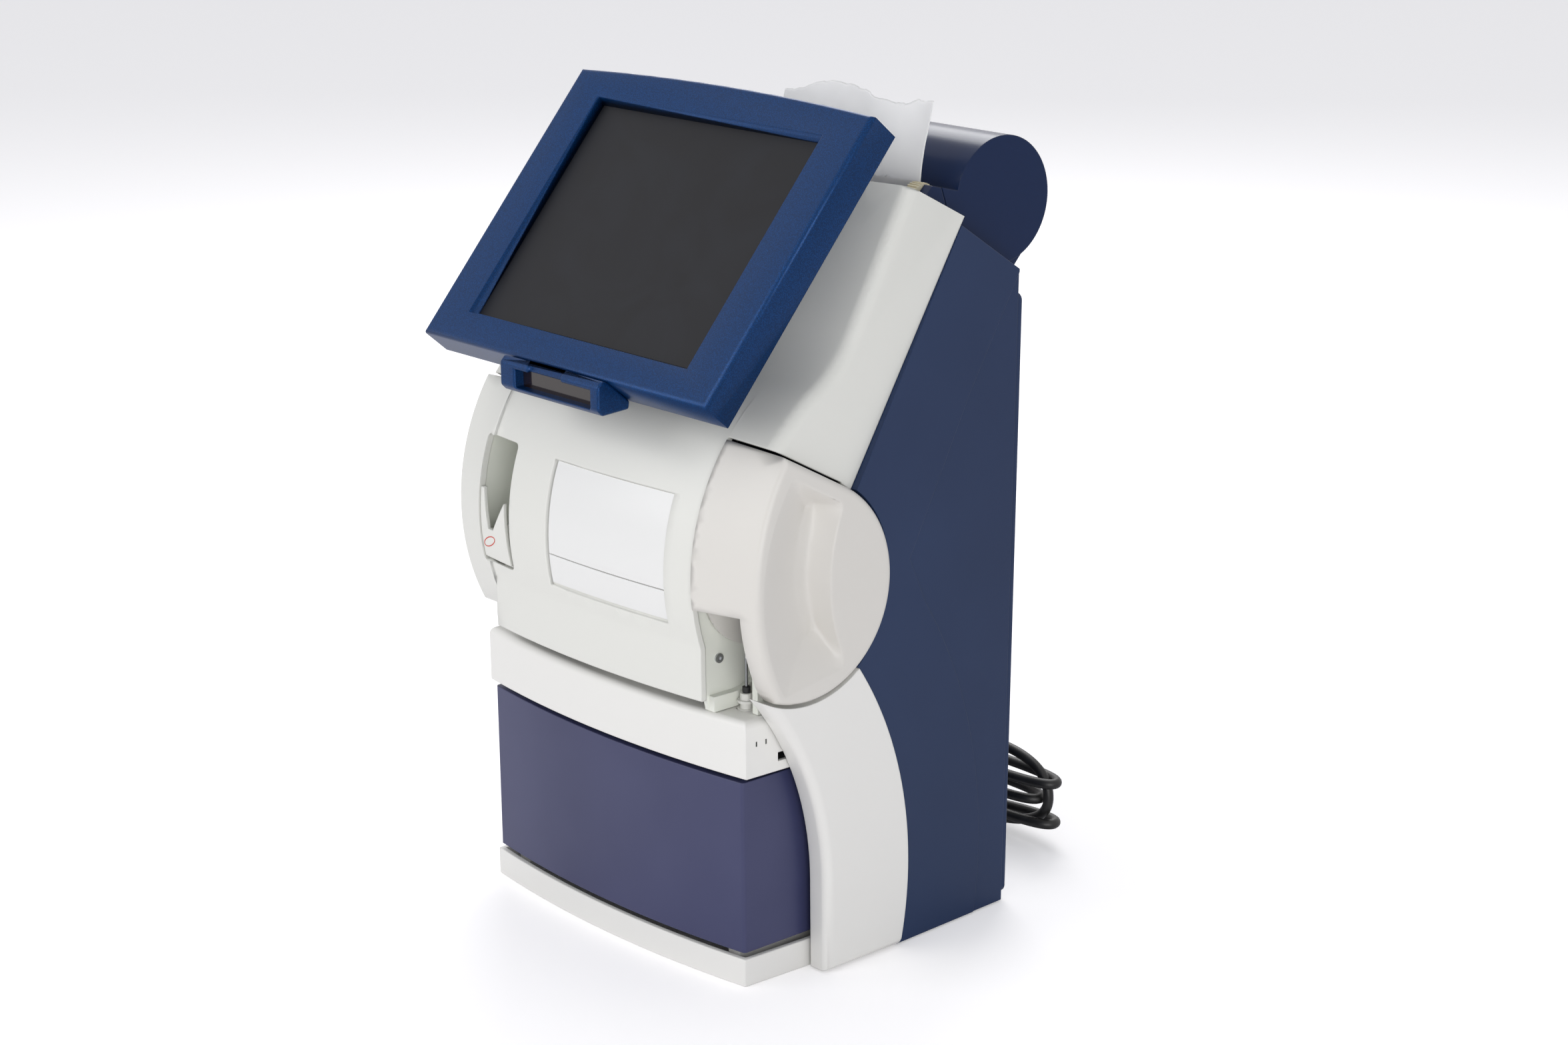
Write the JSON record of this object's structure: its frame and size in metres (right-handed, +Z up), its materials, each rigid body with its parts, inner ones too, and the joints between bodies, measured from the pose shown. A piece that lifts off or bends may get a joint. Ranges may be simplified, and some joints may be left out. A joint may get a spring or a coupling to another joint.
{
  "type": "blood gas analyzer",
  "caption": "Bench-top blood gas analyzer: tilting touch display, swinging inlet handle, slide-out solution pack, roll printer under a lid and a coiled mains lead.",
  "frame": {"origin": "centre of the footprint on the bench, on the tray's underside", "axes": "+X to the viewer's right when facing the front, +Y to the back, +Z up; the front faces -Y"},
  "size_m": [0.272, 0.322, 0.4385],
  "materials": {
    "white_shell": "semi-gloss moulded plastic",
    "warm_white": "semi-gloss moulded plastic",
    "blue_side": "fine-textured moulded plastic",
    "pack_blue": "semi-gloss moulded plastic",
    "bezel_blue": "satin metallic paint",
    "lid_navy": "glossy moulded plastic",
    "dark_glass": "polished",
    "amber": "polished",
    "lens": "diffusing",
    "grey_plastic": "moulded",
    "black_plastic": "moulded",
    "black_rubber": "matte",
    "seal_rubber": "matte",
    "cream": "moulded",
    "paper": "matte paper",
    "steel": "brushed",
    "frame_zinc": "zinc plated sheet",
    "circuit": "solder mask",
    "clear_cradle": "polished"
  },
  "bodies": {
    "chassis": {"arch_left": "white_shell", "arch_right": "white_shell", "base_tray": "white_shell", "bracket_screw": "steel", "chassis_frame": "frame_zinc", "cord_coil": "black_rubber", "cord_connector": "black_plastic", "cord_lead": "black_rubber", "cord_tail": "black_rubber", "fan_frame": "black_plastic", "foot_pads": "seal_rubber", "front_cover": "white_shell", "front_plate": "white_shell", "handle_pivot": "steel", "hinge_bracket": "steel", "hinge_pin": "steel", "inlet_bracket": "grey_plastic", "ledge": "white_shell", "light_lenses": "lens", "lower_flap": "white_shell", "main_board": "circuit", "mains_plug": "black_plastic", "mixer_bay": "grey_plastic", "network_socket": "steel", "pack_manifold": "grey_plastic", "paper_tail": "paper", "port_seal": "seal_rubber", "power_inlet": "black_plastic", "power_supply": "steel", "printer_bezel": "lid_navy", "printer_mechanism": "grey_plastic", "printer_tray": "grey_plastic", "pump_housing": "grey_plastic", "rear_cover": "blue_side", "rear_screws": "steel", "sensor_cassette": "clear_cradle", "side_cover_left": "blue_side", "side_cover_right": "blue_side", "usb_socket": "steel", "wash_port": "grey_plastic"},
    "display": {"display_bezel": "bezel_blue", "display_back": "bezel_blue", "touch_glass": "dark_glass", "lcd_module": "steel", "reader_housing": "bezel_blue", "reader_window": "amber", "display_knuckle": "steel"},
    "inlet_handle": {"handle_shell": "warm_white", "handle_disc": "warm_white"},
    "probe": {"probe_needle": "steel", "probe_carrier": "grey_plastic"},
    "cradle": {"mixer_cradle": "clear_cradle"},
    "solution_pack": {"pack_shell": "pack_blue", "pack_ports": "grey_plastic"},
    "lid": {"printer_lid": "lid_navy"},
    "roll": {"paper_roll": "paper"},
    "platen": {"platen_roller": "black_rubber"},
    "wheel": {"feed_wheel": "cream"},
    "fan": {"fan_rotor": "black_plastic"},
    "pump": {"pump_rotor": "black_plastic"}
  },
  "joints": [
    {"name": "display_tilt", "type": "hinge", "parent": "chassis", "child": "display", "pos_m": [0, -0.0449, 0.3391], "axis": [1, 0, 0], "range_deg": [-10, 12]},
    {"name": "inlet_swing", "type": "hinge", "parent": "chassis", "child": "inlet_handle", "pos_m": [0.09, -0.0681, 0.2067], "axis": [1, 0, 0], "range_deg": [0, 25]},
    {"name": "probe_slide", "type": "slide", "parent": "chassis", "child": "probe", "axis": [0, 0, 1], "range_m": [0, 0.015]},
    {"name": "cradle_tilt", "type": "hinge", "parent": "chassis", "child": "cradle", "pos_m": [-0.0755, -0.014, 0.212], "axis": [-1, 0, 0], "range_deg": [0, 8]},
    {"name": "pack_slide", "type": "slide", "parent": "chassis", "child": "solution_pack", "axis": [0, -1, 0], "range_m": [0, 0.14]},
    {"name": "lid_open", "type": "hinge", "parent": "chassis", "child": "lid", "pos_m": [0, 0.092, 0.3446], "axis": [-1, 0, 0], "range_deg": [0, 60]},
    {"name": "roll_spin", "type": "hinge", "parent": "chassis", "child": "roll", "pos_m": [0.03, 0.086, 0.376], "axis": [1, 0, 0], "continuous": true},
    {"name": "platen_spin", "type": "hinge", "parent": "chassis", "child": "platen", "pos_m": [0.03, 0.0366, 0.3745], "axis": [1, 0, 0], "continuous": true},
    {"name": "wheel_spin", "type": "hinge", "parent": "chassis", "child": "wheel", "pos_m": [0.09, 0.0364, 0.3864], "axis": [1, 0, 0], "continuous": true},
    {"name": "fan_spin", "type": "hinge", "parent": "chassis", "child": "fan", "pos_m": [0.05, 0.07, 0.262], "axis": [0, 1, 0], "continuous": true},
    {"name": "pump_spin", "type": "hinge", "parent": "chassis", "child": "pump", "pos_m": [0.03, -0.018, 0.17], "axis": [0, 0, 1], "continuous": true}
  ]
}
